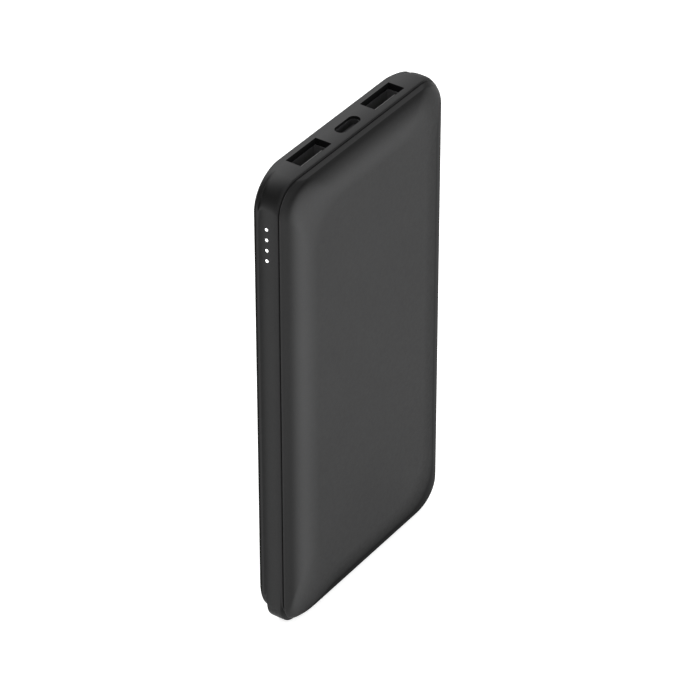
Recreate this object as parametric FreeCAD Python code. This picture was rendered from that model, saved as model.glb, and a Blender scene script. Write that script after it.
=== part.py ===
import FreeCAD, Part
import os
import math

os.makedirs("parts", exist_ok=True)
V = FreeCAD.Vector

# ---------------------------------------------------------------- driving dimensions (mm)
HALF_W = 36.0          # half width of the body at the seam
HALF_H = 69.13         # half height of the body at the seam
BAND = 6.3             # from the seam to the back crease
FRONT_D = 4.12         # seam plane to front flat
BACK_D = 4.33          # crease plane to back flat
SIDE_RUN = 11.4        # how far the rollover runs in from each long side
END_RUN = 10.5         # the same from the top and bottom ends
SIDE_WALL_F, SIDE_WALL_B = 0.30, 0.45   # straight wall before the side rollover starts
END_WALL_F, END_WALL_B = 1.90, 2.76     # straight wall before the end rollover starts
CORNER = 7.75          # plan corner radius at the seam
SIDE_CROWN = 0.12      # bulge of the long sides across the band
TOP_CROWN = 0.62       # bulge of the top end across the band
END_WALL_T = 2.3       # as END_WALL_B, at the top, where the bulge runs on over the back
CORNER_KEEP = 1.71     # extra corner radius per mm of bulge, so that the corner itself stays where it is
BOT_CROWN = 2.42       # bulge of the bottom end, cut to a narrow standing flat
BOT_FLAT = 0.05        # depth of that cut
BOT_EDGE, BOT_RISE = 0.20, 0.12      # the bulge starts this far in from each edge of the band and rises over this much, in half bands
GROOVE = 0.32          # width of the groove between cover and shell
BREAK = 0.16           # broken edge on each side of the groove
WALL = 1.4             # wall behind the flats
SKIRT = 1.6            # wall of the long sides

TOTAL_D = FRONT_D + BAND + BACK_D
YS = -TOTAL_D / 2 + FRONT_D          # seam plane
YB = YS + BAND                       # back crease plane
Y_FRONT = YS - FRONT_D
Y_BACK = YB + BACK_D
ZC = HALF_H + BOT_CROWN - BOT_FLAT   # middle of the seam rectangle
CAV_T, CAV_B, CAV_W, CAV_R = HALF_H - 1.83, HALF_H - 1.13, HALF_W - SKIRT, 6.2
Z_TOP_IN = ZC + CAV_T                # inner face of the top wall
Z_RIM = ZC + HALF_H + TOP_CROWN      # crest of the top end

# sockets
PORT_X = 16.5
PORT_Y = YS + 4.4
A_CUT_W, A_CUT_H = 13.2, 5.0         # cut-outs in the case for the two large sockets
A_SHELL_W, A_SHELL_H, A_SHELL_L, A_SHEET = 13.1, 5.7, 14.0, 0.3
A_TONGUE_IN = 0.3     # the tongue ends this far below the mouth of its shell
A_POCKET = 0.5        # pocket inside the top wall that takes the end of the shell
C_Y = YS + 3.85
C_CUT_W, C_CUT_H = 9.25, 3.4
C_SHELL_W, C_SHELL_H, C_SHELL_L, C_SHEET = 8.94, 3.26, 7.4, 0.3

# board
PCB_T = 1.2
PCB_B = PORT_Y - A_SHELL_H / 2       # component face, towards the back
PCB_F = PCB_B - PCB_T
PCB_X, PCB_Z0, PCB_Z1 = 31.0, 117.4, Z_TOP_IN - 1.7
SCREWS = [(-27.2, 120.0), (27.2, 117.0 + 3.0), (-7.2, 134.0), (7.2, 134.0)]
SCREW_R, HEAD_R = 0.8, 1.6

# level lights
LED_Y = YS + 3.64
LED_Z = [ZC + z for z in (57.05, 53.89, 50.73, 47.57)]
LED_R = 0.45

# button
BTN_Z, BTN_Y = 124.6, YS + BAND / 2
BTN_L, BTN_H, BTN_CLEAR, BTN_TRAVEL = 9.0, 2.8, 0.08, 0.35

# cells
CELL_X0, CELL_X1, CELL_Z0, CELL_Z1, CELL_Y = 0.8, 32.3, 8.2, 108.0, 4.68
TERRACE = 4.0


def save(name, shape):
    shape.exportStep("parts/%s.step" % name)


def box(x0, x1, y0, y1, z0, z1):
    return Part.makeBox(x1 - x0, y1 - y0, z1 - z0, V(x0, y0, z0))


def cyl(r, a, b):
    a, b = V(*a), V(*b)
    d = b - a
    return Part.makeCylinder(r, d.Length, a, d)


def ring(a, ct, cb, rt, rb, y):
    """Closed rounded rectangle in the plane y: half width a, up ct and down cb from the middle."""
    zt, zb = ZC + ct, ZC - cb
    edges = []
    last = None
    first = None
    for cx, cz, r, t0 in ((a - rt, zt - rt, rt, 0), (-(a - rt), zt - rt, rt, 90),
                          (-(a - rb), zb + rb, rb, 180), (a - rb, zb + rb, rb, 270)):
        p = [V(cx + r * math.cos(math.radians(t)), y, cz + r * math.sin(math.radians(t)))
             for t in (t0, t0 + 45, t0 + 90)]
        if last is not None:
            edges.append(Part.makeLine(last, p[0]))
        edges.append(Part.Arc(p[0], p[1], p[2]).toShape())
        last = p[2]
        if first is None:
            first = p[0]
    edges.append(Part.makeLine(last, first))
    return Part.Wire(edges)


def cubic(f, r45, r85, r1):
    """Smooth change of the corner radius with depth: 0 at f = 0, then the given values at 0.45, 0.85 and 1."""
    out = 0.0
    pts = ((0.0, 0.0), (0.45, r45), (0.85, r85), (1.0, r1))
    for i, (xi, yi) in enumerate(pts):
        w = yi
        for j, (xj, _) in enumerate(pts):
            if j != i:
                w *= (f - xj) / (xi - xj)
        out += w
    return out


def inset(run, wall, depth, dep, power):
    u = max(0.0, min(1.0, (dep - wall) / (depth - wall)))
    return run * (1 - (1 - u ** power) ** (1 / power))


def pillow(front, dep):
    """Half width, half height and the two corner radii of the rollover at a depth from its plane."""
    d = FRONT_D if front else BACK_D
    a = HALF_W - inset(SIDE_RUN, SIDE_WALL_F if front else SIDE_WALL_B, d, dep, 2.0)
    c = HALF_H - inset(END_RUN, END_WALL_F if front else END_WALL_B, d, dep, 1.8)
    f = dep / d
    if front:
        rt = cubic(f, 1.3, 2.7, 4.0)
        rb = cubic(f, -0.16, 5.2, 4.4)
    else:
        rt = cubic(f, 0.9, 4.6, 5.4) + CORNER_KEEP * TOP_CROWN * (1 - f ** 3)
        rb = cubic(f, 1.9, 4.2, 4.4)
    return a, c, CORNER + rt, CORNER + rb


def back_top(dep):
    """Half height of the back's rollover at the top end: the bulge dies away gradually over the whole depth."""
    return HALF_H + TOP_CROWN * (1 - (dep / BACK_D) ** 3) - inset(END_RUN, END_WALL_T, BACK_D, dep, 1.8)


OUTER_STEPS = [i / 18.0 for i in range(19)]
INNER_STEPS = [i / 9.0 for i in range(10)]


def outer_roll(front, dep0):
    d = FRONT_D if front else BACK_D
    wires = []
    q0 = math.asin(dep0 / d) / (math.pi / 2)
    for s in OUTER_STEPS:
        q = q0 + (1 - q0) * s
        dep = d * math.sin(q * math.pi / 2)
        a, c, rt, rb = pillow(front, dep)
        y = YS - dep if front else YB + dep
        wires.append(ring(a, c if front else back_top(dep), c, rt, rb, y))
    return Part.makeLoft(wires, True, True)


def inner_roll(front):
    """The hollow behind the rollover, a wall thickness inside it."""
    d = FRONT_D if front else BACK_D
    wires = []
    for s in INNER_STEPS:
        dep = d * math.sin(s * math.pi / 2)
        a, c, rt, rb = pillow(front, dep)
        y = (YS - dep * (d - WALL) / d) if front else (YB + dep * (d - WALL) / d)
        if front:
            w = SKIRT + 1.3 * math.exp(-dep / 0.8)
            wires.append(ring(a - w, c - w - 0.2, c - w - 0.2, max(rt - w, 2), max(rb - w, 2), y))
        else:
            rt -= CORNER_KEEP * TOP_CROWN * (1 - (dep / d) ** 3)
            wires.append(ring(a - SKIRT, c - (HALF_H - CAV_T), c - (HALF_H - CAV_B), max(rt - SKIRT, 2), max(rb - SKIRT, 2), y))
    return Part.makeLoft(wires, True, True)


def band_ring(y, trim=0.0):
    q = abs((y - YS) / BAND * 2 - 1)
    k = 1 - q ** 5.5
    t = max(0.0, min(1.0, (1 - q - BOT_EDGE) / BOT_RISE))
    kb = t * t * (3 - 2 * t)
    ks = 1 - q ** 2.5
    r_t = CORNER - 0.5 * ks
    if y > YS + BAND / 2:
        r_t += CORNER_KEEP * TOP_CROWN * (1 - k)
        k = 1.0
    r_b = CORNER - 0.6 * kb
    return ring(HALF_W + SIDE_CROWN * ks - trim, HALF_H + TOP_CROWN * k - trim, HALF_H + BOT_CROWN * kb - trim, r_t, r_b, y)


# ---------------------------------------------------------------- front cover
y0 = YS - GROOVE / 2
a, c, rt, rb = pillow(True, GROOVE / 2 + BREAK)
edge = Part.makeLoft([ring(HALF_W - BREAK, HALF_H - BREAK, HALF_H - BREAK, CORNER - BREAK, CORNER - BREAK, y0),
                      ring(a, c, c, rt, rb, y0 - BREAK)], True, True)
cover = outer_roll(True, GROOVE / 2 + BREAK).fuse(edge)
cover = cover.cut(inner_roll(True))
LIP_OUT, LIP_IN, LIP_Y = CAV_W - 0.1, CAV_W - 1.3, YS + 1.4
lip_o = Part.Face(ring(LIP_OUT, CAV_T - 0.1, CAV_B - 0.1, CAV_R, CAV_R, y0 - 0.9))
lip_i = Part.Face(ring(LIP_IN, CAV_T - 1.3, CAV_B - 1.3, CAV_R - 1.2, CAV_R - 1.2, y0 - 0.9))
lip = lip_o.extrude(V(0, LIP_Y - y0 + 0.9, 0)).cut(lip_i.extrude(V(0, LIP_Y - y0 + 0.9, 0)))
lip = lip.common(outer_roll(True, 0.001).fuse(box(-40, 40, YS, YS + 5, -5, 150)))
cover = cover.cut(inner_roll(True)).fuse(lip)
plug = Part.Face(ring(CAV_W - 1.3, CAV_T - 1.3, CAV_B - 1.3, CAV_R - 1.2, CAV_R - 1.2, y0 - 0.9)).extrude(V(0, 3.0, 0))
cover = cover.cut(plug)
# snap hooks: two on each long side below the board, one pair at the bottom end
HOOK_Z = [28.0, 62.0, 96.0]
hooks, pockets = [], []
for side in (-1, 1):
    for hz in HOOK_Z:
        x_in, x_out = LIP_IN, LIP_OUT
        tab = box(min(side * x_in, side * x_out), max(side * x_in, side * x_out), YS - 0.5, YS + 1.4, hz - 3, hz + 3)
        nub = box(min(side * x_out, side * (x_out + 0.45)) - 0.0, max(side * x_out, side * (x_out + 0.45)), YS + 0.75, YS + 1.35, hz - 2.5, hz + 2.5)
        hooks.append(tab.fuse(nub))
        pockets.append(box(min(side * (CAV_W - 0.2), side * (CAV_W + 0.5)), max(side * (CAV_W - 0.2), side * (CAV_W + 0.5)), YS + 0.65, YS + 1.6, hz - 3, hz + 3))
for h in hooks:
    cover = cover.fuse(h)
cover = cover.removeSplitter()

# ---------------------------------------------------------------- back shell
y1 = YS + GROOVE / 2
ys = [y1 + BREAK] + [YS + BAND * f for f in (0.07, 0.10, 0.112, 0.124, 0.136, 0.148, 0.16, 0.20, 0.25, 0.31, 0.40, 0.50, 0.60, 0.69, 0.75, 0.80, 0.84, 0.852, 0.864, 0.876, 0.888, 0.90, 0.93, 0.965)] + [YB]
band = Part.makeLoft([band_ring(y) for y in ys], True, True)
q = band_ring(y1 + BREAK)
edge_b = Part.makeLoft([ring(HALF_W - BREAK, HALF_H - BREAK, HALF_H - BREAK, CORNER - BREAK, CORNER - BREAK, y1), q], True, True)
shell = band.fuse(edge_b).fuse(outer_roll(False, 0.0))
shell = shell.cut(box(-50, 50, -20, 20, -10, 0))
outer_body = shell.copy()
cavity = Part.Face(ring(CAV_W, CAV_T, CAV_B, CAV_R, CAV_R, YS - 2)).extrude(V(0, YB - YS + 2.0, 0))
shell = shell.cut(cavity).cut(inner_roll(False))
# bosses for the board screws, up from the back wall to the board
bosses = []
for sx, sz in SCREWS:
    b = cyl(2.1, (sx, PCB_B, sz), (sx, Y_BACK - 0.5, sz))
    bosses.append(b)
for b in bosses:
    shell = shell.fuse(b)
for sx, sz in SCREWS:
    shell = shell.cut(cyl(SCREW_R + 0.02, (sx, PCB_B - 1, sz), (sx, PCB_B + 5.2, sz)))
for p in pockets:
    shell = shell.cut(p)
# socket cut-outs in the top wall
for sx in (-PORT_X, PORT_X):
    shell = shell.cut(box(sx - A_CUT_W / 2, sx + A_CUT_W / 2, PORT_Y - A_CUT_H / 2, PORT_Y + A_CUT_H / 2, Z_TOP_IN - 2, Z_RIM + 2))
    shell = shell.cut(box(sx - A_SHELL_W / 2 - 0.15, sx + A_SHELL_W / 2 + 0.15, PORT_Y - A_SHELL_H / 2 - 0.1, PORT_Y + A_SHELL_H / 2 + 0.1, Z_TOP_IN - 0.3, Z_TOP_IN + A_POCKET))


def stadium(w, h, cx, cy, z0, z1):
    """Stadium in plan, long axis X, swept up Z."""
    r = h / 2
    s = w / 2 - r
    return box(cx - s, cx + s, cy - r, cy + r, z0, z1).fuse(cyl(r, (cx - s, cy, z0), (cx - s, cy, z1))).fuse(cyl(r, (cx + s, cy, z0), (cx + s, cy, z1))).removeSplitter()


def stadium_x(length, height, cy, cz, x0, x1):
    """Stadium on a side wall, long axis Z, swept along X."""
    r = height / 2
    s = length / 2 - r
    return box(x0, x1, cy - r, cy + r, cz - s, cz + s).fuse(cyl(r, (x0, cy, cz - s), (x1, cy, cz - s))).fuse(cyl(r, (x0, cy, cz + s), (x1, cy, cz + s))).removeSplitter()


shell = shell.cut(stadium(C_CUT_W, C_CUT_H, 0, C_Y, Z_TOP_IN - 2, Z_RIM + 2))
for z in LED_Z:
    shell = shell.cut(cyl(LED_R + 0.03, (-HALF_W - 2, LED_Y, z), (-CAV_W + 1, LED_Y, z)))
shell = shell.cut(stadium_x(BTN_L, BTN_H, BTN_Y, BTN_Z, CAV_W - 1, HALF_W + 2))
save("front_cover", cover)
save("back_shell", shell)

# ---------------------------------------------------------------- inner frame round the cells
FR_Y0, FR_Y1 = -1.45, 1.45
fo = Part.Face(ring(CAV_W - 0.2, 41.9, CAV_B - 0.3, 1.0, CAV_R - 0.2, FR_Y0)).extrude(V(0, FR_Y1 - FR_Y0, 0))
fi = Part.Face(ring(CAV_W - 1.6, 40.7, ZC - 7.9, 0.8, 0.5, FR_Y0 - 1)).extrude(V(0, FR_Y1 - FR_Y0 + 2, 0))
frame = fo.cut(fi).fuse(box(-0.55, 0.55, FR_Y0, FR_Y1, 7.0, ZC + 41.0))
TAB_X = (-22.0, -10.0, 10.0, 22.0)
for tx in TAB_X:
    frame = frame.cut(box(tx - 3.2, tx + 3.2, -0.6, 0.6, ZC + 40, ZC + 43))
frame = frame.removeSplitter()
save("inner_frame", frame)
FRAME_TOP = ZC + 41.9

# ---------------------------------------------------------------- cells, pads and wiring
for name, s in (("battery_cell_left", -1), ("battery_cell_right", 1)):
    x0, x1 = sorted((s * CELL_X0, s * CELL_X1))
    cell = box(x0, x1, -CELL_Y, CELL_Y, CELL_Z0, CELL_Z1)
    upright = [e for e in cell.Edges if abs(e.Vertexes[0].Z - e.Vertexes[1].Z) > 1]
    cell = cell.makeFillet(2.4, upright)
    cell = cell.fuse(box(x0 + 0.4, x1 - 0.4, -0.25, 0.25, CELL_Z1 - 0.5, CELL_Z1 + TERRACE))
    save(name, cell)
save("front_foam_pad", box(-22.4, 22.4, -CELL_Y - 1.22, -CELL_Y - 0.02, 18.0, 104.0))
save("back_foam_pad", box(-22.4, 22.4, CELL_Y + 0.02, CELL_Y + 1.22, 18.0, 104.0))
tab_z0 = CELL_Z1 + TERRACE
tabs = []
for tx, top in zip(TAB_X, (117.0, 115.4, 115.4, 117.0)):
    tabs.append(box(tx - 2.5, tx + 2.5, -0.1, 0.1, tab_z0, top))
save("cell_tabs", Part.makeCompound(tabs))
save("positive_link", box(-24.5, 24.5, 0.1, 0.3, 115.8, 116.9))
save("negative_link", box(-12.5, 12.5, 0.1, 0.3, 114.1, 115.2))


def wire(r, pts):
    out = None
    for p, n in zip(pts[:-1], pts[1:]):
        seg = cyl(r, p, n)
        out = seg if out is None else out.fuse(seg)
    for p in pts[1:-1]:
        out = out.fuse(Part.makeSphere(r, V(*p)))
    return out.removeSplitter()


WY = 0.34 + 0.65
save("battery_lead_positive", wire(0.65, [(15.6, WY, 116.0), (15.6, WY, 119.6), (15.6, PCB_B + 0.67, 121.4), (15.6, PCB_B + 0.67, 123.2)]))
save("battery_lead_negative", wire(0.65, [(6.2, WY, 114.4), (6.2, WY, 119.6), (6.2, PCB_B + 0.67, 121.4), (6.2, PCB_B + 0.67, 123.2)]))
bead = cyl(0.9, (-16.0, 1.6, 108.3), (-16.0, 1.6, 111.6))
bead = bead.makeFillet(0.6, [e for e in bead.Edges if e.Closed])
for dx in (-0.4, 0.4):
    bead = bead.fuse(box(-16.0 + dx - 0.14, -16.0 + dx + 0.14, 1.72, 2.0, 111.0, 121.0))
    bead = bead.fuse(box(-16.0 + dx - 0.14, -16.0 + dx + 0.14, PCB_B, 2.0, 120.72, 121.0))
save("thermistor", bead.removeSplitter())

# ---------------------------------------------------------------- board
pcb = box(-PCB_X, PCB_X, PCB_F, PCB_B, PCB_Z0, PCB_Z1)
pcb = pcb.makeFillet(3.4, [e for e in pcb.Edges if abs(e.Vertexes[0].Y - e.Vertexes[1].Y) > 1 and min(v.Z for v in e.Vertexes) > PCB_Z0 + 1])
pcb = pcb.makeFillet(0.6, [e for e in pcb.Edges if e.Curve.TypeId == "Part::GeomLine" and abs(e.Vertexes[0].Y - e.Vertexes[1].Y) > 1 and max(v.Z for v in e.Vertexes) < PCB_Z0 + 1])
for sx, sz in SCREWS:
    pcb = pcb.cut(cyl(1.0, (sx, PCB_F - 1, sz), (sx, PCB_B + 1, sz)))
save("main_board", pcb)
scr = []
for sx, sz in SCREWS:
    s = cyl(SCREW_R, (sx, PCB_F - 0.1, sz), (sx, PCB_B + 4.8, sz)).fuse(cyl(HEAD_R, (sx, PCB_F - 0.9, sz), (sx, PCB_F, sz)))
    s = s.cut(box(sx - 0.9, sx + 0.9, PCB_F - 1.0, PCB_F - 0.45, sz - 0.17, sz + 0.17)).cut(box(sx - 0.17, sx + 0.17, PCB_F - 1.0, PCB_F - 0.45, sz - 0.9, sz + 0.9))
    scr.append(s)
save("board_screws", Part.makeCompound(scr))
save("insulation_sheet", box(-28.5, 28.5, -4.45, -4.2, 115.2, 135.5))

# ---------------------------------------------------------------- large sockets
MOUTH = Z_TOP_IN + A_POCKET - 0.05
for name, sx in (("usb_a_left", -PORT_X), ("usb_a_right", PORT_X)):
    o = box(sx - A_SHELL_W / 2, sx + A_SHELL_W / 2, PORT_Y - A_SHELL_H / 2, PORT_Y + A_SHELL_H / 2, MOUTH - A_SHELL_L, MOUTH)
    up = [e for e in o.Edges if abs(e.Vertexes[0].Z - e.Vertexes[1].Z) > 1]
    o = o.makeFillet(0.5, up)
    i = box(sx - A_SHELL_W / 2 + A_SHEET, sx + A_SHELL_W / 2 - A_SHEET, PORT_Y - A_SHELL_H / 2 + A_SHEET, PORT_Y + A_SHELL_H / 2 - A_SHEET, MOUTH - A_SHELL_L + A_SHEET, MOUTH + 1)
    up = [e for e in i.Edges if abs(e.Vertexes[0].Z - e.Vertexes[1].Z) > 1]
    i = i.makeFillet(0.25, up)
    sh = o.cut(i)
    for lx in (-3.4, 3.4):   # spring fingers pressed out of the back sheet
        slot = box(sx + lx - 1.25, sx + lx + 1.25, PORT_Y + A_SHELL_H / 2 - 0.6, PORT_Y + A_SHELL_H / 2 + 0.5, MOUTH - 9.5, MOUTH - 3.0)
        tongue = box(sx + lx - 0.95, sx + lx + 0.95, PORT_Y + A_SHELL_H / 2 - A_SHEET, PORT_Y + A_SHELL_H / 2, MOUTH - 9.6, MOUTH - 3.5)
        sh = sh.cut(slot).fuse(tongue)
    save(name + "_shell", sh.removeSplitter())
    ty0 = PORT_Y - A_SHELL_H / 2 + A_SHEET + 0.62
    ty1 = ty0 + 1.84
    tz1 = MOUTH - A_TONGUE_IN
    tz0 = MOUTH - A_SHELL_L + A_SHEET + 0.02
    t = box(sx - 5.55, sx + 5.55, ty0, ty1, tz0, tz1)
    t = t.fuse(box(sx - 6.15, sx + 6.15, PORT_Y - 2.5, PORT_Y + 2.5, tz0, tz0 + 2.6))
    cont = []
    for k in range(4):
        cx = sx + (-3.5, -1.0, 1.0, 3.5)[k]
        t = t.cut(box(cx - 0.55, cx + 0.55, ty1 - 0.25, ty1 + 1, tz0 + 2.6, tz1 - 0.7))
        cont.append(box(cx - 0.5, cx + 0.5, ty1 - 0.24, ty1 - 0.02, tz0 + 2.62, tz1 - 0.75))
    save(name + "_tongue", t.removeSplitter())
    save(name + "_contacts", Part.makeCompound(cont))

# ---------------------------------------------------------------- small socket
C_MOUTH = Z_RIM - 0.75
cs = stadium(C_SHELL_W, C_SHELL_H, 0, C_Y, C_MOUTH - C_SHELL_L, C_MOUTH)
ci = stadium(C_SHELL_W - 2 * C_SHEET, C_SHELL_H - 2 * C_SHEET, 0, C_Y, C_MOUTH - C_SHELL_L + 0.3, C_MOUTH + 1)
shell_c = cs.cut(ci)
for lx in (-4.0, 4.0):      # legs down to the board
    shell_c = shell_c.fuse(box(lx - 0.3, lx + 0.3, PCB_B, C_Y - 0.2, C_MOUTH - 6.6, C_MOUTH - 5.2).cut(ci))
save("usb_c_shell", shell_c.removeSplitter())
ct = box(-3.33, 3.33, C_Y - 0.35, C_Y + 0.35, C_MOUTH - C_SHELL_L + 1.6, C_MOUTH - 0.9)
base = stadium(C_SHELL_W - 2 * C_SHEET - 0.04, C_SHELL_H - 2 * C_SHEET - 0.04, 0, C_Y, C_MOUTH - C_SHELL_L + 0.32, C_MOUTH - C_SHELL_L + 1.7)
tong = ct.fuse(base)
pins = []
for k in range(12):
    px = -2.75 + 0.5 * k
    for sgn in (-1, 1):
        yo = C_Y + sgn * 0.35
        tong = tong.cut(box(px - 0.13, px + 0.13, min(yo, yo - sgn * 0.1), max(yo, yo - sgn * 0.1), C_MOUTH - C_SHELL_L + 1.72, C_MOUTH - 1.6))
        pins.append(box(px - 0.12, px + 0.12, min(yo - sgn * 0.01, yo - sgn * 0.09), max(yo - sgn * 0.01, yo - sgn * 0.09), C_MOUTH - C_SHELL_L + 1.74, C_MOUTH - 1.65))
save("usb_c_tongue", tong.removeSplitter())
save("usb_c_contacts", Part.makeCompound(pins))

# ---------------------------------------------------------------- level lights
save("level_leds", Part.makeCompound([box(-30.9, -29.6, PCB_B, PCB_B + 1.1, z - 0.8, z + 0.8) for z in LED_Z]))
guide = box(-CAV_W + 0.1, -31.05, PCB_B + 0.03, LED_Y + 0.85, LED_Z[-1] - 1.4, LED_Z[0] + 1.4)
for z in LED_Z:
    guide = guide.fuse(cyl(LED_R, (-HALF_W - SIDE_CROWN + 0.02, LED_Y, z), (-CAV_W + 0.6, LED_Y, z)))
save("light_guide", guide.removeSplitter())

# ---------------------------------------------------------------- power button and its switch
FL_OUT = CAV_W - 0.03
FL_IN = FL_OUT - 1.0
cap = stadium_x(BTN_L - 2 * BTN_CLEAR, BTN_H - 2 * BTN_CLEAR, BTN_Y, BTN_Z, FL_OUT - 0.2, HALF_W + SIDE_CROWN - 0.06)
outer_edges = [e for e in cap.Edges if min(v.X for v in e.Vertexes) > HALF_W]
cap = cap.makeFillet(0.2, outer_edges)
cap = cap.fuse(box(FL_IN, FL_OUT, BTN_Y - 1.75, BTN_Y + 1.9, BTN_Z - 5.4, BTN_Z + 5.4))
SW_X1 = PCB_X
PL_END = SW_X1 + 1.3
cap = cap.fuse(box(PL_END + 0.02, FL_IN + 0.1, BTN_Y - 0.7, BTN_Y + 0.7, BTN_Z - 1.5, BTN_Z + 1.5))
save("power_button", cap.removeSplitter())
sw = box(27.7, SW_X1, PCB_B, BTN_Y + 1.7, BTN_Z - 2.4, BTN_Z + 2.4)
sw = sw.cut(box(SW_X1 - 1.5, SW_X1 + 1, BTN_Y - 0.65, BTN_Y + 0.65, BTN_Z - 1.35, BTN_Z + 1.35))
save("switch_body", sw)
save("switch_plunger", box(SW_X1 - 1.1, PL_END, BTN_Y - 0.6, BTN_Y + 0.6, BTN_Z - 1.3, BTN_Z + 1.3))

# ---------------------------------------------------------------- components on the board
ind = box(-5.4, 1.6, PCB_B, PCB_B + 4.0, 118.4, 125.4)
ind = ind.makeFillet(0.6, [e for e in ind.Edges if abs(e.Vertexes[0].Y - e.Vertexes[1].Y) > 1])
save("power_inductor", ind)
save("charge_controller", box(-23.8, -18.8, PCB_B, PCB_B + 0.85, 118.2, 123.2))
save("power_mosfets", Part.makeCompound([box(18.0, 21.3, PCB_B, PCB_B + 0.9, 118.4, 121.7), box(22.0, 24.6, PCB_B, PCB_B + 0.9, 120.4, 123.7)]))
caps = []
for cx, cz in ((10.9, 120.6), (-11.4, 120.6)):
    can = cyl(2.0, (cx, PCB_B + 0.4, cz), (cx, PCB_B + 5.0, cz)).fuse(box(cx - 2.15, cx + 2.15, PCB_B, PCB_B + 0.5, cz - 2.15, cz + 2.15))
    caps.append(can)
for cx, cz in ((-8.0, 127.0), (-8.0, 129.0), (8.0, 127.0), (8.0, 129.0), (-28.6, 131.5), (28.6, 131.5)):
    caps.append(box(cx - 0.8, cx + 0.8, PCB_B, PCB_B + 0.9, cz - 0.6, cz + 0.6))
save("capacitors", Part.makeCompound(caps))
save("resistors", Part.makeCompound([box(cx - 0.5, cx + 0.5, PCB_F - 0.4, PCB_F, cz - 0.3, cz + 0.3) for cx, cz in ((-20, 124), (-17, 124), (-14, 124), (14, 124), (17, 124), (20, 124), (-2, 122), (2, 122))]))
save("protection_chip", box(-1.6, 1.6, PCB_F - 1.1, PCB_F, 126.0, 129.0))
print("height", Z_RIM, "depth", TOTAL_D, "width", 2 * (HALF_W + SIDE_CROWN))
print("ZC", ZC, "YS", YS, "YB", YB, "MOUTH", MOUTH, "C_MOUTH", C_MOUTH, "PORT_Y", PORT_Y, "C_Y", C_Y, "PCB", PCB_F, PCB_B, "RIM", Z_RIM)
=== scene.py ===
import math

import bmesh
import bpy
import numpy as np
from mathutils import Matrix, Vector


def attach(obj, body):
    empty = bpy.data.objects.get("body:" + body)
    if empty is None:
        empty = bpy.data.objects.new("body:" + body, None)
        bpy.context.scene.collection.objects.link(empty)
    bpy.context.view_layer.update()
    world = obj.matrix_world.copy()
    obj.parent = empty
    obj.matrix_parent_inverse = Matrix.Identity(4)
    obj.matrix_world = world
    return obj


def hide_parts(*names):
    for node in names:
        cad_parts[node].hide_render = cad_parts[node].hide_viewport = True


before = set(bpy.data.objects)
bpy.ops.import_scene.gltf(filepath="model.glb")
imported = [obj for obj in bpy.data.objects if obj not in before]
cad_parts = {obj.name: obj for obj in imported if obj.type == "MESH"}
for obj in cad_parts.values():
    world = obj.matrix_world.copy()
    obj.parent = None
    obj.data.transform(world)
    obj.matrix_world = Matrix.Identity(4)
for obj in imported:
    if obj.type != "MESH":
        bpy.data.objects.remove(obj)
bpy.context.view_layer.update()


MM = 0.001
scene = bpy.context.scene

# ------------------------------------------------------------------ the case, in millimetres
HALF_W, HALF_H, BAND = 36.0, 69.13, 6.3
FRONT_D, BACK_D = 4.12, 4.33
SIDE_RUN, END_RUN = 11.4, 10.5
SIDE_WALL_F, SIDE_WALL_B, END_WALL_F, END_WALL_B = 0.30, 0.45, 1.90, 2.76
CORNER = 7.75
SIDE_CROWN, TOP_CROWN, BOT_CROWN, BOT_FLAT = 0.12, 0.62, 2.42, 0.05
BOT_EDGE, BOT_RISE = 0.20, 0.12
END_WALL_T, CORNER_KEEP = 2.3, 1.71
GROOVE, BREAK = 0.32, 0.16
WALL, SKIRT = 1.4, 1.6
TOTAL_D = FRONT_D + BAND + BACK_D
YS = -TOTAL_D / 2 + FRONT_D
YB = YS + BAND
Y_FRONT, Y_BACK = YS - FRONT_D, YB + BACK_D
ZC = HALF_H + BOT_CROWN - BOT_FLAT
CAV_T, CAV_B, CAV_W, CAV_R = HALF_H - 1.83, HALF_H - 1.13, HALF_W - SKIRT, 6.2
Z_TOP_IN = ZC + CAV_T
Z_RIM = ZC + HALF_H + TOP_CROWN
PORT_X, PORT_Y = 16.5, YS + 4.4
A_CUT_W, A_CUT_H = 13.2, 5.0
C_Y, C_CUT_W, C_CUT_H = YS + 3.85, 9.25, 3.4
LED_Y = YS + 3.64
LED_Z = [ZC + z for z in (57.05, 53.89, 50.73, 47.57)]
LED_R = 0.45
BTN_Z, BTN_Y, BTN_L, BTN_H = 124.6, YS + BAND / 2, 9.0, 2.8


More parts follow.
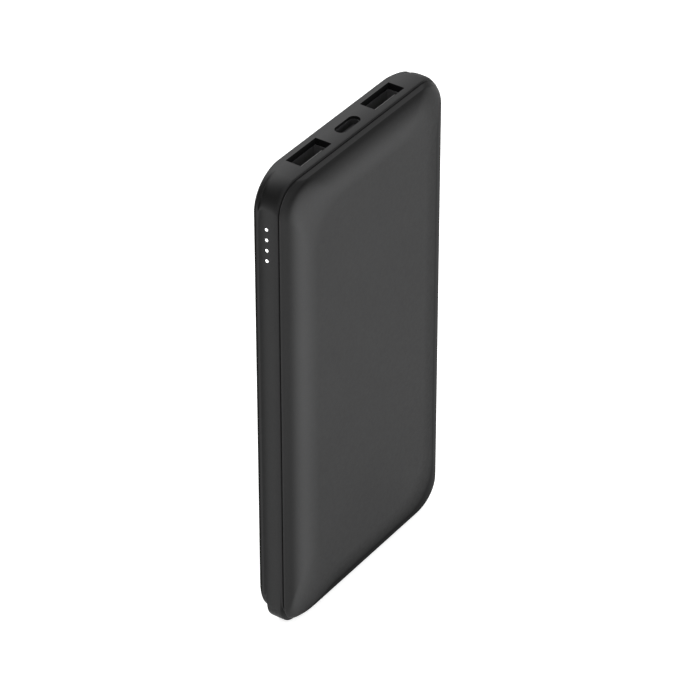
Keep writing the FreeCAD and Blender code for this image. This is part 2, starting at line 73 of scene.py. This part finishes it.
# ------------------------------------------------------------------ node helpers
class Tree:
    """A small wrapper that makes a procedural material easier to read."""

    def __init__(self, name):
        self.m = bpy.data.materials.new(name)
        self.m.use_nodes = True
        self.t = self.m.node_tree
        self.t.nodes.clear()
        self.out = self.n("ShaderNodeOutputMaterial")

    def n(self, kind, **values):
        node = self.t.nodes.new(kind)
        for k, v in values.items():
            if hasattr(node, k):
                setattr(node, k, v)
            else:
                node.inputs[k.replace("_", " ")].default_value = v
        return node

    def link(self, a, b):
        self.t.links.new(a, b)

    def noise(self, scale, detail=3.0, rough=0.5, coord=None):
        nz = self.n("ShaderNodeTexNoise")
        nz.inputs["Scale"].default_value = scale
        nz.inputs["Detail"].default_value = detail
        nz.inputs["Roughness"].default_value = rough
        if coord is not None:
            self.link(coord, nz.inputs["Vector"])
        return nz

    def ramp(self, src, stops):
        r = self.n("ShaderNodeValToRGB")
        r.color_ramp.elements[0].position = stops[0][0]
        r.color_ramp.elements[0].color = (*stops[0][1], 1)
        r.color_ramp.elements[1].position = stops[-1][0]
        r.color_ramp.elements[1].color = (*stops[-1][1], 1)
        for p, c in stops[1:-1]:
            e = r.color_ramp.elements.new(p)
            e.color = (*c, 1)
        self.link(src, r.inputs["Fac"])
        return r

    def span(self, src, a, b, lo, hi):
        r = self.n("ShaderNodeMapRange")
        r.inputs["From Min"].default_value = a
        r.inputs["From Max"].default_value = b
        r.inputs["To Min"].default_value = lo
        r.inputs["To Max"].default_value = hi
        self.link(src, r.inputs["Value"])
        return r

    def lobes(self, lobes, least, fall=0.0):
        """1 + a sum of lobes over the surface's own normal, + fall times the nearness to the floor, never under least.
        On the case's base colour it paints light and shade onto each bend and shade toward the floor; it also scales
        the specular level.
        """
        coord = self.n("ShaderNodeTexCoord")
        xyz = self.n("ShaderNodeSeparateXYZ")
        self.link(coord.outputs["Object"], xyz.inputs[0])
        # painted shade toward the floor when fall is below zero
        total = self.span(xyz.outputs["Z"], 0.0, 0.1, 1.0 + fall, 1.0).outputs[0]
        for tilt, phi, k, a, *across in lobes:
            t, f = math.radians(tilt), math.radians(phi)
            dot = self.n("ShaderNodeVectorMath", operation="DOT_PRODUCT")
            self.link(coord.outputs["Normal"], dot.inputs[0])
            dot.inputs[1].default_value = (-math.sin(t) * math.cos(f), -math.cos(t), math.sin(t) * math.sin(f))
            e = self.n("ShaderNodeMath", operation="MULTIPLY_ADD")
            self.link(dot.outputs["Value"], e.inputs[0])
            e.inputs[1].default_value, e.inputs[2].default_value = k, -k
            x = self.n("ShaderNodeMath", operation="EXPONENT")
            self.link(e.outputs[0], x.inputs[0])
            m = self.n("ShaderNodeMath", operation="MULTIPLY_ADD")
            self.link(x.outputs[0], m.inputs[0])
            m.inputs[1].default_value = a
            if across:      # this one also changes from the front seam to the back edge
                y = self.span(xyz.outputs["Y"], YS * MM, YB * MM, a - across[0], a + across[0])
                self.link(y.outputs[0], m.inputs[1])
            self.link(total, m.inputs[2])
            total = m.outputs[0]
        top = self.n("ShaderNodeMath", operation="MAXIMUM")
        self.link(total, top.inputs[0])
        top.inputs[1].default_value = least
        return top.outputs[0]

    def bsdf(self, **values):
        b = self.n("ShaderNodeBsdfPrincipled")
        for k, v in values.items():
            b.inputs[k.replace("_", " ")].default_value = v
        self.link(b.outputs[0], self.out.inputs["Surface"])
        return b

    def bump(self, height, strength, distance, normal=None):
        b = self.n("ShaderNodeBump")
        b.inputs["Strength"].default_value = strength
        b.inputs["Distance"].default_value = distance
        self.link(height, b.inputs["Height"])
        if normal is not None:
            self.link(normal, b.inputs["Normal"])
        return b


def moulded(name, colour, rough, grain=1.0, ior=1.46, sheen=0.0, spread=0.10, fleck=0.0, level=0.5, lobes=(), fall=0.0, gloss=()):
    """Fine-textured moulded plastic: spark-eroded grain, faint mottling, and small changes in gloss."""
    t = Tree(name)
    g = t.n("ShaderNodeTexCoord").outputs["Object"]
    big = t.noise(45.0, 3.0, 0.55, g)
    mid = t.noise(900.0, 4.0, 0.6, g)
    tiny = t.noise(5200.0, 2.0, 0.6, g)
    c = [max(0.0, x) for x in colour]
    mix = t.ramp(big.outputs["Fac"], [(0.30, [x * (1 - spread) for x in c]), (0.70, [x * (1 + spread) for x in c])])
    spk = t.ramp(tiny.outputs["Fac"], [(0.35, [0.86 - fleck] * 3), (0.65, [1.0 + fleck] * 3)])
    mul = t.n("ShaderNodeMix", data_type="RGBA", blend_type="MULTIPLY")
    mul.inputs[0].default_value = 0.55
    t.link(mix.outputs["Color"], mul.inputs[6])
    t.link(spk.outputs["Color"], mul.inputs[7])
    b = t.bsdf(IOR=ior, Specular_IOR_Level=level)
    if lobes:      # painted light and shade: the base colour is made lighter or darker on each bend
        sc = t.n("ShaderNodeVectorMath", operation="SCALE")
        t.link(mul.outputs[2], sc.inputs[0])
        t.link(t.lobes(lobes, 0.12, fall), sc.inputs["Scale"])
        t.link(sc.outputs[0], b.inputs["Base Color"])
    else:
        t.link(mul.outputs[2], b.inputs["Base Color"])
    if gloss:
        lv = t.n("ShaderNodeMath", operation="MULTIPLY")
        t.link(t.lobes(gloss, 0.0), lv.inputs[0])
        lv.inputs[1].default_value = level
        t.link(lv.outputs[0], b.inputs["Specular IOR Level"])
    r = t.span(mid.outputs["Fac"], 0.3, 0.7, rough - 0.05, rough + 0.05)
    t.link(r.outputs[0], b.inputs["Roughness"])
    if sheen:
        b.inputs["Sheen Weight"].default_value = sheen
        b.inputs["Sheen Roughness"].default_value = 0.6
    add = t.n("ShaderNodeMath", operation="ADD")
    t.link(mid.outputs["Fac"], add.inputs[0])
    t.link(tiny.outputs["Fac"], add.inputs[1])
    bump = t.bump(add.outputs[0], 0.22 * grain, 0.00006)
    t.link(bump.outputs[0], b.inputs["Normal"])
    return t.m


def metal(name, colour, rough, brushed=(1, 1, 1), scale=1800.0, aniso=0.0):
    t = Tree(name)
    g = t.n("ShaderNodeTexCoord").outputs["Object"]
    mp = t.n("ShaderNodeMapping")
    mp.inputs["Scale"].default_value = brushed
    t.link(g, mp.inputs["Vector"])
    nz = t.noise(scale, 4.0, 0.6, mp.outputs[0])
    b = t.bsdf(Metallic=1.0)
    cr = t.ramp(nz.outputs["Fac"], [(0.3, [x * 0.86 for x in colour]), (0.7, [min(1, x * 1.08) for x in colour])])
    t.link(cr.outputs["Color"], b.inputs["Base Color"])
    r = t.span(nz.outputs["Fac"], 0.3, 0.7, rough - 0.06, rough + 0.08)
    t.link(r.outputs[0], b.inputs["Roughness"])
    bump = t.bump(nz.outputs["Fac"], 0.15, 0.00003)
    t.link(bump.outputs[0], b.inputs["Normal"])
    return t.m


def glow(name, colour, strength):
    """A lit light guide, slightly grainy from the diffuser."""
    t = Tree(name)
    g = t.n("ShaderNodeTexCoord").outputs["Object"]
    nz = t.noise(2600.0, 2.0, 0.5, g)
    b = t.bsdf(Base_Color=(*colour, 1), Roughness=0.35)
    cr = t.ramp(nz.outputs["Fac"], [(0.2, [x * 0.95 for x in colour]), (0.8, list(colour))])
    t.link(cr.outputs["Color"], b.inputs["Emission Color"])
    b.inputs["Emission Strength"].default_value = strength
    bump = t.bump(nz.outputs["Fac"], 0.1, 0.00003)
    t.link(bump.outputs[0], b.inputs["Normal"])
    return t.m


# lobes of painted highlight and painted shade in the base colour (the gloss tables scale the specular level instead):
# tilt from the front's normal, direction round it (0 = the level-light side, 90 = up), sharpness, amount
FRONT_PAINTED_SHADING = ((11, 0, 40, 1.336), (10, 90, 40, -0.348), (12, -90, 40, -1.17), (12, 180, 40, -0.46), (11, 45, 40, 0.606),
               (42, 0, 10, 0.209), (27, 90, 20, -0.56), (32, 42, 14, -0.538), (55, 90, 8, -0.347), (75, 0, 10, 0.016),
               (90, 90, 100, 0.664), (22, 180, 25, 0.92), (22, -90, 25, 0.5), (22, -135, 25, 0.688), (30, 135, 14, 0.486),
               (18, 90, 60, 0.02), (6, 90, 300, 0.533), (4, 0, 400, -0.025), (85, 0, 30, 0.449))
BACK_PAINTED_SHADING = ((85, 45, 10, -0.824), (90, 0, 6, 0.119), (90, 90, 6, 1.861, 0.923), (70, 90, 14, 0.739), (108, 90, 14, 0.221),
               (97, 0, 60, 1.666), (115, 0, 15, -1.435), (88, 45, 40, 0.297), (110, 45, 15, -0.439), (94.5, 0, 600, -1.219),
               (180, 0, 5, 0.425), (90, 180, 6, 0.177))
# painted shade: how much darker the case colour gets at the floor
FRONT_PAINTED_FLOOR_SHADE, BACK_PAINTED_FLOOR_SHADE = -0.167, -0.057
FRONT_GLOSS = ((24, 180, 25, -1.1), (24, -90, 25, -1.1), (24, -135, 25, -1.0))
BACK_GLOSS = ((114, 0, 25, -1.1), (114, 45, 25, -1.1))
# the front cover and the back shell are one plastic in two copies, each with its own base tone and its own painted
# light and shade
BASE_FRONT = (0.02352, 0.02352, 0.02375)
BASE_BACK = (0.02076, 0.02076, 0.02096)
CASE = moulded("case_plastic", BASE_FRONT, 0.48, 0.8, 1.30, level=0.125, spread=0.03, lobes=FRONT_PAINTED_SHADING, fall=FRONT_PAINTED_FLOOR_SHADE, gloss=FRONT_GLOSS)
CASE_BACK = moulded("case_plastic_back", BASE_BACK, 0.48, 0.8, 1.30, level=0.125, spread=0.03, lobes=BACK_PAINTED_SHADING, fall=BACK_PAINTED_FLOOR_SHADE, gloss=BACK_GLOSS)
# painted shade: the case plastic made darker for the walls of the cut-outs and the inside
RECESS_PAINTED_SHADE = moulded("case_cut_wall_painted_shade", (0.0075, 0.0075, 0.0078), 0.55, 0.8, 1.30, level=0.1)
BUTTON = moulded("button_plastic", (0.038, 0.038, 0.039), 0.46, 0.8, 1.30, level=0.15)


def paint(node, mat):
    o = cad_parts[node]
    o.data.materials.clear()
    o.data.materials.append(mat)
    return o


# ------------------------------------------------------------------ case surfaces
NARC = 20      # points on each quarter corner
NSIDE, NEND = 36, 20


def cubic(f, r45, r85, r1):
    out = 0.0
    pts = ((0.0, 0.0), (0.45, r45), (0.85, r85), (1.0, r1))
    for i, (xi, yi) in enumerate(pts):
        w = yi
        for j, (xj, _) in enumerate(pts):
            if j != i:
                w *= (f - xj) / (xi - xj)
        out += w
    return out


def inset(run, wall, depth, dep, power):
    u = max(0.0, min(1.0, (dep - wall) / (depth - wall)))
    return run * (1 - (1 - u ** power) ** (1 / power))


def pillow(front, dep):
    d = FRONT_D if front else BACK_D
    a = HALF_W - inset(SIDE_RUN, SIDE_WALL_F if front else SIDE_WALL_B, d, dep, 2.0)
    c = HALF_H - inset(END_RUN, END_WALL_F if front else END_WALL_B, d, dep, 1.8)
    f = dep / d
    if front:
        rt, rb = cubic(f, 1.3, 2.7, 4.0), cubic(f, -0.16, 5.2, 4.4)
    else:
        rt, rb = cubic(f, 0.9, 4.6, 5.4) + CORNER_KEEP * TOP_CROWN * (1 - f ** 3), cubic(f, 1.9, 4.2, 4.4)
    return a, c, CORNER + rt, CORNER + rb


def back_top(dep):
    return HALF_H + TOP_CROWN * (1 - (dep / BACK_D) ** 3) - inset(END_RUN, END_WALL_T, BACK_D, dep, 1.8)


def ring(a, ct, cb, rt, rb, y):
    """Points of a rounded rectangle, always the same number, so that rings join up point to point."""
    zt, zb = ZC + ct, ZC - cb
    out = []
    corners = ((a - rt, zt - rt, rt, 0), (-(a - rt), zt - rt, rt, 90), (-(a - rb), zb + rb, rb, 180), (a - rb, zb + rb, rb, 270))
    for i, (cx, cz, r, t0) in enumerate(corners):
        arc = [(cx + r * math.cos(math.radians(t0 + 90 * k / NARC)), cz + r * math.sin(math.radians(t0 + 90 * k / NARC))) for k in range(NARC + 1)]
        out += arc
        nx, nz, nr, nt = corners[(i + 1) % 4]
        nxt = (nx + nr * math.cos(math.radians(nt)), nz + nr * math.sin(math.radians(nt)))
        n = NEND if i % 2 == 0 else NSIDE
        last = arc[-1]
        out += [(last[0] + (nxt[0] - last[0]) * k / n, last[1] + (nxt[1] - last[1]) * k / n) for k in range(1, n)]
    return [(x * MM, y * MM, z * MM) for x, z in out]


def band_ring(y, trim=0.0):
    q = abs((y - YS) / BAND * 2 - 1)
    k = 1 - q ** 5.5
    t = max(0.0, min(1.0, (1 - q - BOT_EDGE) / BOT_RISE))
    kb = t * t * (3 - 2 * t)
    ks = 1 - q ** 2.5
    r_t = CORNER - 0.5 * ks
    if y > YS + BAND / 2:
        r_t += CORNER_KEEP * TOP_CROWN * (1 - k)
        k = 1.0
    return ring(HALF_W + SIDE_CROWN * ks - trim, HALF_H + TOP_CROWN * k - trim, min(HALF_H + BOT_CROWN * kb, ZC) - trim, r_t, CORNER - 0.6 * kb, y)


def sheet_mesh(name, rings, close=True, cap_first=False, cap_last=False):
    """Joins rings of points into one closed skin."""
    bm = bmesh.new()
    rows = [[bm.verts.new(p) for p in r] for r in rings]
    n = len(rows[0])
    for a, b in zip(rows[:-1], rows[1:]):
        for i in range(n):
            j = (i + 1) % n
            bm.faces.new((a[i], a[j], b[j], b[i]))
    if cap_first:
        bm.faces.new(rows[0])
    if cap_last:
        bm.faces.new(rows[-1])
    if close and not (cap_first or cap_last):
        a, b = rows[-1], rows[0]
        for i in range(n):
            j = (i + 1) % n
            bm.faces.new((a[i], a[j], b[j], b[i]))
    bmesh.ops.recalc_face_normals(bm, faces=bm.faces)
    me = bpy.data.meshes.new(name)
    bm.to_mesh(me)
    bm.free()
    o = bpy.data.objects.new(name, me)
    scene.collection.objects.link(o)
    return o


def smooth(o, angle=28.0):
    for p in o.data.polygons:
        p.use_smooth = True
    o.data.set_sharp_from_angle(angle=math.radians(angle))


def apply_all(o):
    dg = bpy.context.evaluated_depsgraph_get()
    me = bpy.data.meshes.new_from_object(o.evaluated_get(dg))
    old = o.data
    o.modifiers.clear()
    o.data = me
    bpy.data.meshes.remove(old)


def cut(o, cutters, solver="EXACT"):
    for c in cutters:
        m = o.modifiers.new("cut", "BOOLEAN")
        m.operation = "DIFFERENCE"
        m.solver = solver
        m.object = c
    bpy.context.view_layer.update()
    apply_all(o)
    for c in cutters:
        bpy.data.objects.remove(c)


def prism(name, pts, axis, lo, hi):
    """A prism of 2-D points (mm) along an axis: x takes (y, z), z takes (x, y)."""
    def p3(a, b, t):
        return (t * MM, a * MM, b * MM) if axis == "x" else (a * MM, b * MM, t * MM) if axis == "z" else (a * MM, t * MM, b * MM)
    bm = bmesh.new()
    low = [bm.verts.new(p3(a, b, lo)) for a, b in pts]
    high = [bm.verts.new(p3(a, b, hi)) for a, b in pts]
    bm.faces.new(low)
    bm.faces.new(high)
    n = len(pts)
    for i in range(n):
        j = (i + 1) % n
        bm.faces.new((low[i], low[j], high[j], high[i]))
    bmesh.ops.recalc_face_normals(bm, faces=bm.faces)
    me = bpy.data.meshes.new(name)
    bm.to_mesh(me)
    bm.free()
    o = bpy.data.objects.new(name, me)
    scene.collection.objects.link(o)
    return o


def rect(cx, cy, w, h, r=0.0, n=6):
    if r <= 0:
        return [(cx - w / 2, cy - h / 2), (cx + w / 2, cy - h / 2), (cx + w / 2, cy + h / 2), (cx - w / 2, cy + h / 2)]
    out = []
    for sx, sy, t0 in ((1, 1, 0), (-1, 1, 90), (-1, -1, 180), (1, -1, 270)):
        for k in range(n + 1):
            t = math.radians(t0 + 90 * k / n)
            out.append((cx + sx * (w / 2 - r) + r * math.cos(t), cy + sy * (h / 2 - r) + r * math.sin(t)))
    return out


def disc(cx, cy, r, n=40):
    return [(cx + r * math.cos(2 * math.pi * k / n), cy + r * math.sin(2 * math.pi * k / n)) for k in range(n)]


# front cover: outer skin in to the flat, back out along the inside
N_ROLL = 44
y0 = YS - GROOVE / 2
outer = []
dep0 = GROOVE / 2 + BREAK
q0 = math.asin(dep0 / FRONT_D) / (math.pi / 2)
lead = 6
for k in range(lead):      # the rounded lip beside the groove
    t = math.pi / 2 * k / lead
    s = BREAK * (1 - math.sin(t))
    outer.append(ring(HALF_W - s, HALF_H - s, HALF_H - s, CORNER - s, CORNER - s, y0 - BREAK * (1 - math.cos(t))))
for k in range(N_ROLL + 1):
    q = q0 + (1 - q0) * k / N_ROLL
    dep = FRONT_D * math.sin(q * math.pi / 2)
    a, c, rt, rb = pillow(True, dep)
    outer.append(ring(a, c, c, rt, rb, YS - dep))
inner = []
for k in range(12, -1, -1):
    dep = FRONT_D * math.sin(k / 12 * math.pi / 2)
    a, c, rt, rb = pillow(True, dep)
    w = SKIRT + 1.3 * math.exp(-dep / 0.8)
    inner.append(ring(a - w, c - w - 0.2, c - w - 0.2, max(rt - w, 2), max(rb - w, 2), YS - dep * (FRONT_D - WALL) / FRONT_D))


def half_skin(name, rows):
    """One skin of quad strips between the rings; it adds no cap."""
    bm = bmesh.new()
    vr = [[bm.verts.new(p) for p in r] for r in rows]
    n = len(vr[0])
    for a, b in zip(vr[:-1], vr[1:]):
        for i in range(n):
            j = (i + 1) % n
            bm.faces.new((a[i], a[j], b[j], b[i]))
    return bm, vr


bm = bmesh.new()
vo = [[bm.verts.new(p) for p in r] for r in outer]
vi = [[bm.verts.new(p) for p in r] for r in inner]
lip_rings = [ring(CAV_W - 0.1, CAV_T - 0.1, CAV_B - 0.1, CAV_R, CAV_R, y0), ring(CAV_W - 0.1, CAV_T - 0.1, CAV_B - 0.1, CAV_R, CAV_R, YS + 1.3),
             ring(CAV_W - 1.3, CAV_T - 1.3, CAV_B - 1.3, CAV_R - 1.2, CAV_R - 1.2, YS + 1.3)]
vl = [[bm.verts.new(p) for p in r] for r in lip_rings]
rows = [vl[2], vl[1], vl[0]] + vo


def strip(a, b):
    n = len(a)
    for i in range(n):
        j = (i + 1) % n
        bm.faces.new((a[i], a[j], b[j], b[i]))


for a, b in zip(rows[:-1], rows[1:]):
    strip(a, b)
bm.faces.new(vo[-1])
bm.faces.new(vi[0])
for a, b in zip(vi[:-1], vi[1:]):
    strip(a, b)
strip(vi[-1], vl[2])
bmesh.ops.recalc_face_normals(bm, faces=bm.faces)
me = bpy.data.meshes.new("front_cover_skin")
bm.to_mesh(me)
bm.free()
front_cover = bpy.data.objects.new("front_cover_skin", me)
scene.collection.objects.link(front_cover)
smooth(front_cover, 35)
front_cover.data.materials.append(CASE)
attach(front_cover, "body")
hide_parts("front_cover")

# back shell: lip, band, crease, rollover, flat; then the inside
y1 = YS + GROOVE / 2
rows_mm = []
for k in range(lead):
    t = math.pi / 2 * k / lead
    s = BREAK * (1 - math.sin(t))
    rows_mm.append((s, y1 + BREAK * (1 - math.cos(t))))
outer_b = []
for s, y in rows_mm:
    outer_b.append(ring(HALF_W - s, HALF_H - s, HALF_H - s, CORNER - s, CORNER - s, y))
n_band = 56
for k in range(n_band + 1):
    # closer rings near both edges of the band
    u = 0.5 - 0.5 * math.cos(math.pi * k / n_band)
    y = (y1 + BREAK) + (YB - y1 - BREAK) * u
    outer_b.append(band_ring(y))
for k in range(1, N_ROLL + 1):
    q = k / N_ROLL
    dep = BACK_D * math.sin(q * math.pi / 2)
    a, c, rt, rb = pillow(False, dep)
    outer_b.append(ring(a, back_top(dep), c, rt, rb, YB + dep))
inner_b = []
for k in range(14, -1, -1):
    dep = BACK_D * math.sin(k / 14 * math.pi / 2)
    a, c, rt, rb = pillow(False, dep)
    rt -= CORNER_KEEP * TOP_CROWN * (1 - (dep / BACK_D) ** 3)
    inner_b.append(ring(a - SKIRT, c - (HALF_H - CAV_T), c - (HALF_H - CAV_B), max(rt - SKIRT, 2), max(rb - SKIRT, 2), YB + dep * (BACK_D - WALL) / BACK_D))
inner_b.append(ring(CAV_W, CAV_T, CAV_B, CAV_R, CAV_R, YB))
inner_b.append(ring(CAV_W, CAV_T, CAV_B, CAV_R, CAV_R, y1))
bm = bmesh.new()
vo = [[bm.verts.new(p) for p in r] for r in outer_b]
vi = [[bm.verts.new(p) for p in r] for r in inner_b]
for a, b in zip(vo[:-1], vo[1:]):
    strip(a, b)
for a, b in zip(vi[:-1], vi[1:]):
    strip(a, b)
bm.faces.new(vo[-1])
bm.faces.new(vi[0])
strip(vi[-1], vo[0])
bmesh.ops.recalc_face_normals(bm, faces=bm.faces)
me = bpy.data.meshes.new("back_shell_skin")
bm.to_mesh(me)
bm.free()
back_shell = bpy.data.objects.new("back_shell_skin", me)
scene.collection.objects.link(back_shell)
cutters = [prism("c", rect(s * PORT_X, PORT_Y, A_CUT_W, A_CUT_H, 0.12, 3), "z", Z_TOP_IN - 2, Z_RIM + 2) for s in (-1, 1)]
cutters += [prism("c", rect(s * PORT_X, PORT_Y, 13.4, 5.9), "z", Z_TOP_IN - 0.3, Z_TOP_IN + 0.5) for s in (-1, 1)]
cutters.append(prism("c", rect(0, C_Y, C_CUT_W, C_CUT_H, C_CUT_H / 2 - 0.001, 16), "z", Z_TOP_IN - 2, Z_RIM + 2))
cutters += [prism("c", disc(LED_Y, z, LED_R + 0.03), "x", -HALF_W - 2, -CAV_W + 1) for z in LED_Z]
cutters.append(prism("c", rect(BTN_Y, BTN_Z, BTN_H, BTN_L, BTN_H / 2 - 0.001, 16), "x", CAV_W - 1, HALF_W + 2))
cut(back_shell, cutters)
smooth(back_shell, 24)
back_shell.data.materials.clear()
back_shell.data.materials.append(CASE_BACK)
back_shell.data.materials.append(RECESS_PAINTED_SHADE)
for f in back_shell.data.polygons:      # painted shade: the walls of the three cut-outs, and everything inside the shell, get a darker copy of the case plastic
    x, y, z = (c / MM for c in f.center)
    wide = any(abs(x - s * PORT_X) < 6.75 and abs(y - PORT_Y) < 3.0 for s in (-1, 1)) or (abs(x) < 4.75 and abs(y - C_Y) < 1.8)
    f.material_index = 1 if z > Z_TOP_IN - 0.4 and wide and (abs(f.normal.z) < 0.5 or z < Z_RIM - 1.0) else 0
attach(back_shell, "body")
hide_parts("back_shell")

# ------------------------------------------------------------------ finishes of the CAD pieces
PORT_BLACK = moulded("port_insulator", (0.018, 0.018, 0.019), 0.42, 0.7)
PORT_METAL = moulded("port_sheet_steel", (0.11, 0.11, 0.113), 0.40, 0.5)
PORT_METAL.node_tree.nodes["Principled BSDF"].inputs["Metallic"].default_value = 0.35
C_METAL = moulded("port_sheet_dark", (0.05, 0.05, 0.052), 0.45, 0.5)
C_METAL.node_tree.nodes["Principled BSDF"].inputs["Metallic"].default_value = 0.3
GOLD = metal("gold_plating", (0.85, 0.62, 0.26), 0.24, (1, 1, 0.1), 2600.0)
LIT = glow("light_guide_lit", (1.0, 1.0, 1.0), 1.25)


def tongue_plastic(name, y_edge, z_edge, highlight_grey):
    """Black insulator with a painted highlight: a lighter corner on its end where the contact side begins."""
    t = Tree(name)
    g = t.n("ShaderNodeTexCoord").outputs["Object"]
    nz = t.noise(2400.0, 2.0, 0.5, g)
    xyz = t.n("ShaderNodeSeparateXYZ")
    t.link(g, xyz.inputs[0])
    a = t.span(xyz.outputs["Y"], (y_edge - 0.04) * MM, (y_edge + 0.04) * MM, 0.0, 1.0)
    c = t.span(xyz.outputs["Z"], (z_edge - 0.04) * MM, (z_edge + 0.04) * MM, 0.0, 1.0)
    both = t.n("ShaderNodeMath", operation="MULTIPLY")
    t.link(a.outputs[0], both.inputs[0])
    t.link(c.outputs[0], both.inputs[1])
    grain = t.span(nz.outputs["Fac"], 0.2, 0.8, 0.9, 1.0)
    amount = t.n("ShaderNodeMath", operation="MULTIPLY")
    t.link(both.outputs[0], amount.inputs[0])
    t.link(grain.outputs[0], amount.inputs[1])
    cr = t.ramp(amount.outputs[0], [(0.0, (0.016, 0.016, 0.017)), (1.0, (highlight_grey, highlight_grey, highlight_grey))])
    b = t.bsdf(Roughness=0.5, IOR=1.35)
    t.link(cr.outputs["Color"], b.inputs["Base Color"])
    bump = t.bump(nz.outputs["Fac"], 0.15, 0.00004)
    t.link(bump.outputs[0], b.inputs["Normal"])
    return t.m


# the last number is the grey of the painted highlight on each tongue's end
TONGUE = tongue_plastic("port_tongue", 0.84, 138.6, 0.26)
for n in ("usb_a_left_tongue", "usb_a_right_tongue"):
    paint(n, TONGUE)
paint("usb_c_tongue", PORT_BLACK)
for n in ("usb_a_left_shell", "usb_a_right_shell"):
    paint(n, PORT_METAL)
paint("usb_c_shell", C_METAL)
for n in ("usb_a_left_contacts", "usb_a_right_contacts", "usb_c_contacts"):
    paint(n, GOLD)
paint("light_guide", LIT)
paint("power_button", BUTTON)
paint("inner_frame", moulded("frame_plastic", (0.10, 0.10, 0.10), 0.5))
POUCH = metal("pouch_laminate", (0.62, 0.63, 0.66), 0.38, (1, 1, 1), 260.0)
paint("battery_cell_left", POUCH)
paint("battery_cell_right", POUCH)
FOAM = moulded("foam", (0.03, 0.03, 0.032), 0.9, 3.0)
paint("front_foam_pad", FOAM)
paint("back_foam_pad", FOAM)
NICKEL = metal("nickel_strip", (0.62, 0.58, 0.5), 0.3, (0.1, 1, 1), 2000.0)
for n in ("cell_tabs", "positive_link", "negative_link"):
    paint(n, NICKEL)
paint("battery_lead_positive", moulded("lead_red", (0.5, 0.02, 0.02), 0.45, 0.5))
paint("battery_lead_negative", moulded("lead_black", (0.02, 0.02, 0.02), 0.45, 0.5))
paint("thermistor", moulded("epoxy_bead", (0.03, 0.03, 0.03), 0.25, 0.4))
paint("main_board", moulded("solder_mask", (0.012, 0.11, 0.045), 0.3, 0.5))
paint("board_screws", metal("screw_steel", (0.5, 0.5, 0.52), 0.3))
paint("insulation_sheet", moulded("insulating_film", (0.68, 0.62, 0.45), 0.5, 0.5))
paint("level_leds", moulded("led_package", (0.85, 0.83, 0.72), 0.4, 0.4))
paint("switch_body", moulded("switch_plastic", (0.04, 0.04, 0.04), 0.4, 0.5))
paint("switch_plunger", moulded("plunger_plastic", (0.5, 0.06, 0.05), 0.35, 0.5))
paint("power_inductor", moulded("ferrite", (0.10, 0.10, 0.105), 0.6, 1.5))
CHIP = moulded("chip_package", (0.022, 0.022, 0.024), 0.45, 0.8)
for n in ("charge_controller", "power_mosfets", "protection_chip", "resistors"):
    paint(n, CHIP)
paint("capacitors", metal("capacitor_can", (0.62, 0.56, 0.46), 0.35))

# ------------------------------------------------------------------ floor, camera, light
floor_mat = Tree("floor_paper")
g = floor_mat.n("ShaderNodeTexCoord").outputs["Object"]
nz = floor_mat.noise(30.0, 3.0, 0.5, g)
cr = floor_mat.ramp(nz.outputs["Fac"], [(0.3, (0.90, 0.90, 0.90)), (0.7, (0.92, 0.92, 0.92))])
fb = floor_mat.bsdf(Roughness=0.9, Emission_Strength=0.72)
floor_mat.link(cr.outputs["Color"], fb.inputs["Base Color"])
floor_mat.link(cr.outputs["Color"], fb.inputs["Emission Color"])      # a light table: it also glows a little from below
bpy.ops.mesh.primitive_plane_add(size=8.0, location=(0, 0, 0))
floor = bpy.context.object
floor.name = "floor"
floor.data.materials.append(floor_mat.m)

AZ, EL = math.radians(55.298), math.radians(35.195)
B = Vector((-math.sin(AZ) * math.cos(EL), -math.cos(AZ) * math.cos(EL), math.sin(EL)))
R = Vector((0, 0, 1)).cross(B).normalized()
U = B.cross(R)
cam_data = bpy.data.cameras.new("camera")
cam_data.sensor_width = 36.0
cam_data.lens = 3897.32 * 36.0 / 700.0
cam_data.clip_end = 50.0
cam = bpy.data.objects.new("camera", cam_data)
scene.collection.objects.link(cam)
D = 1036.23
pos = B * D - R * ((359.519 - 350) / 3897.32 * D) + U * ((351.793 - 350) / 3897.32 * D)
pos = pos + Vector((0, YS, ZC))
cam.matrix_world = Matrix(((R.x, U.x, B.x, pos.x * MM), (R.y, U.y, B.y, pos.y * MM), (R.z, U.z, B.z, pos.z * MM), (0, 0, 0, 1)))
scene.camera = cam

world = bpy.data.worlds.new("studio")
scene.world = world
world.use_nodes = True
world.node_tree.nodes["Background"].inputs[0].default_value = (1, 1, 1, 1)
world.node_tree.nodes["Background"].inputs[1].default_value = 0.5


def softbox(name, direction, dist, size, power, aim=(0, 0, 0.07)):
    data = bpy.data.lights.new(name, "AREA")
    data.shape = "RECTANGLE"
    data.size, data.size_y = size
    data.energy = power
    o = bpy.data.objects.new(name, data)
    scene.collection.objects.link(o)
    d = Vector(direction).normalized()
    o.location = Vector(aim) + d * dist
    o.rotation_euler = (-d).to_track_quat("-Z", "Y").to_euler()
    return o


def around(phi, el):
    """Direction of a light: phi from the front toward the level-light side, el above the floor, in degrees."""
    p, e = math.radians(phi), math.radians(el)
    return -math.sin(p) * math.cos(e), -math.cos(p) * math.cos(e), math.sin(e)


softbox("front_low", around(0, 14), 1.6, (0.85, 0.85), 9.43)
softbox("right_low", around(-60, 14), 1.6, (0.85, 0.85), 5.65)
softbox("left_high", around(60, 38), 1.6, (0.85, 0.85), 3.06)
softbox("back_high", around(180, 38), 1.6, (0.85, 0.85), 12.19)

scene.view_settings.view_transform = "Standard"
